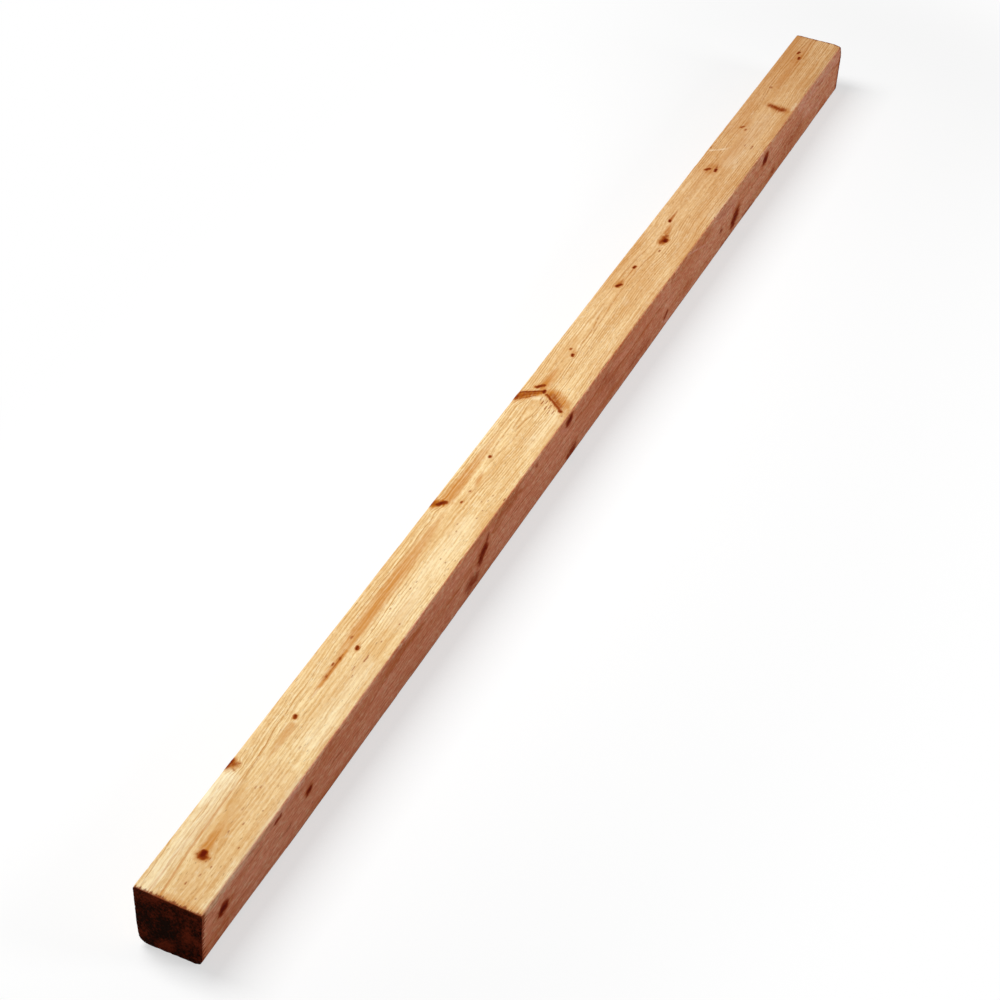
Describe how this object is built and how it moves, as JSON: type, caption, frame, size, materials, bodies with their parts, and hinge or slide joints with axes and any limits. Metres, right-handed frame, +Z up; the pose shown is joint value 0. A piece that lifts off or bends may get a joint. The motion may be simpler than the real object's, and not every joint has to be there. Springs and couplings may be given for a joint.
{
  "type": "timber fence post",
  "caption": "Square sawn softwood fence post with eased arrises, square-cut ends and one rounder arris; carries rails, boards or a gate.",
  "frame": {"origin": "middle of the lower long face, on the floor that the post lies on", "axes": "+Y along the post, from the foot end to the head end; +Z up out of the upper face; +X out of the right face when looking along +Y"},
  "size_m": [0.089, 2.438, 0.089],
  "materials": {
    "timber": "sawn, unfinished"
  },
  "bodies": {
    "root": {"post": "timber"}
  },
  "joints": []
}
